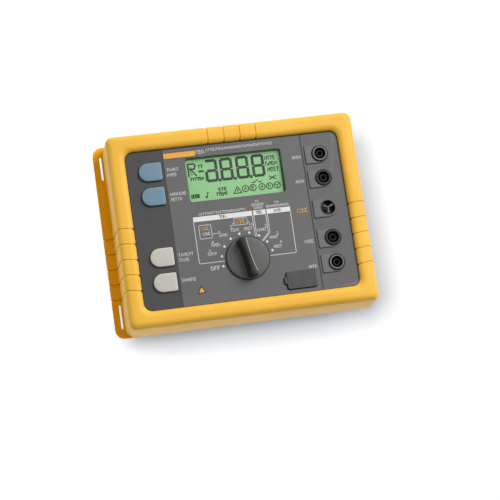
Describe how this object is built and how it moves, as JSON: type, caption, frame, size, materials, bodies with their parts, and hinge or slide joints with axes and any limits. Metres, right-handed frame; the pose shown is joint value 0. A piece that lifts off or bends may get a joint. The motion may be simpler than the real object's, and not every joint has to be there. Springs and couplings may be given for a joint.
{
  "type": "earth resistance tester",
  "caption": "Portable earth ground resistance tester in a yellow rubber boot: range knob, display, push keys, shrouded sockets, a clamp socket and a hinged data-port cover.",
  "frame": {"origin": "middle of the overall outline, on the plane of the feet's undersides", "axes": "+X from the strap flange to the socket strip, +Y from the knob to the display, +Z out of the panel, the tester lying on its feet"},
  "size_m": [0.2498, 0.186, 0.112],
  "materials": {
    "boot_rubber": "smooth moulded rubber, satin",
    "case_grey": "fine-grained moulded plastic",
    "panel_grey": "satin printed face plate",
    "strip_dark": "satin",
    "strip_grey": "satin",
    "key_blue": "satin silicone key",
    "key_light": "satin silicone key",
    "knob_black": "satin moulded plastic",
    "white_print": "printed line",
    "display_green": "liquid crystal cell with a green backlight",
    "clear_lens": "clear lens",
    "black_plastic": "moulded plastic",
    "socket_black": "hard insulating plastic",
    "contact_brass": "turned contact",
    "cover_rubber": "soft rubber cover",
    "rubber_black": "soft rubber",
    "steel": "plated steel",
    "core_steel": "laminated core",
    "board_green": "solder mask",
    "cell_wrap": "plain printed sleeve"
  },
  "bodies": {
    "tester": {"rubber_boot": "boot_rubber", "front_case": "case_grey", "rear_case": "case_grey", "case_gasket": "rubber_black", "key_strip": "strip_dark", "face_plate": "panel_grey", "socket_strip": "strip_grey", "keypad_mat": "rubber_black", "display_lens": "clear_lens", "display_cell": "display_green", "display_frame": "black_plastic", "rotary_switch": "black_plastic", "current_socket": "socket_black", "potential_socket": "socket_black", "sense_socket": "socket_black", "earth_socket": "socket_black", "current_contact": "contact_brass", "potential_contact": "contact_brass", "sense_contact": "contact_brass", "earth_contact": "contact_brass", "clamp_socket": "socket_black", "usb_hinge_pin": "steel", "usb_port": "steel", "main_board": "board_green", "shield_can": "steel", "relay": "black_plastic", "socket_board": "board_green", "power_board": "board_green", "transformer": "core_steel", "capacitor": "black_plastic", "battery_tray": "black_plastic", "sprung_contact_plate": "steel", "flat_contact_plate": "steel", "case_screw_1": "steel", "rubber_foot_1": "rubber_black", "case_screw_2": "steel", "rubber_foot_2": "rubber_black", "case_screw_3": "steel", "rubber_foot_3": "rubber_black", "case_screw_4": "steel", "rubber_foot_4": "rubber_black", "battery_1": "cell_wrap", "battery_2": "cell_wrap", "battery_3": "cell_wrap", "battery_4": "cell_wrap", "battery_5": "cell_wrap", "battery_6": "cell_wrap"},
    "start_key": {"start_key": "key_blue"},
    "display_key": {"display_key": "key_blue"},
    "change_key": {"change_key": "key_light"},
    "select_key": {"select_key": "key_light"},
    "knob": {"range_knob": "knob_black", "knob_pointer": "white_print", "switch_shaft": "steel"},
    "cover": {"usb_cover": "cover_rubber"},
    "door": {"battery_door": "case_grey"},
    "left_door_screw": {"door_screw_left": "steel"},
    "right_door_screw": {"door_screw_right": "steel"}
  },
  "joints": [
    {"name": "start_key_press", "type": "slide", "parent": "tester", "child": "start_key", "axis": [0, 0, -1], "range_m": [0, 0.0012], "stiffness_N_per_m": 600},
    {"name": "display_key_press", "type": "slide", "parent": "tester", "child": "display_key", "axis": [0, 0, -1], "range_m": [0, 0.0012], "stiffness_N_per_m": 600},
    {"name": "change_key_press", "type": "slide", "parent": "tester", "child": "change_key", "axis": [0, 0, -1], "range_m": [0, 0.0012], "stiffness_N_per_m": 600},
    {"name": "select_key_press", "type": "slide", "parent": "tester", "child": "select_key", "axis": [0, 0, -1], "range_m": [0, 0.0012], "stiffness_N_per_m": 600},
    {"name": "knob_turn", "type": "hinge", "parent": "tester", "child": "knob", "pos_m": [0.00455, -0.037, 0.0965], "axis": [0, 0, 1], "range_deg": [-90, 90]},
    {"name": "cover_open", "type": "hinge", "parent": "tester", "child": "cover", "pos_m": [0.06585, -0.0632, 0.0972], "axis": [0, 1, 0], "range_deg": [0, 120]},
    {"name": "door_lift_off", "type": "slide", "parent": "tester", "child": "door", "axis": [0, 0, -1], "range_m": [0, 0.04]},
    {"name": "left_door_screw_turn", "type": "hinge", "parent": "door", "child": "left_door_screw", "pos_m": [-0.05145, -0.03, 0.003], "axis": [0, 0, 1], "range_deg": [0, 90]},
    {"name": "right_door_screw_turn", "type": "hinge", "parent": "door", "child": "right_door_screw", "pos_m": [0.06055, -0.03, 0.003], "axis": [0, 0, 1], "range_deg": [0, 90]}
  ]
}
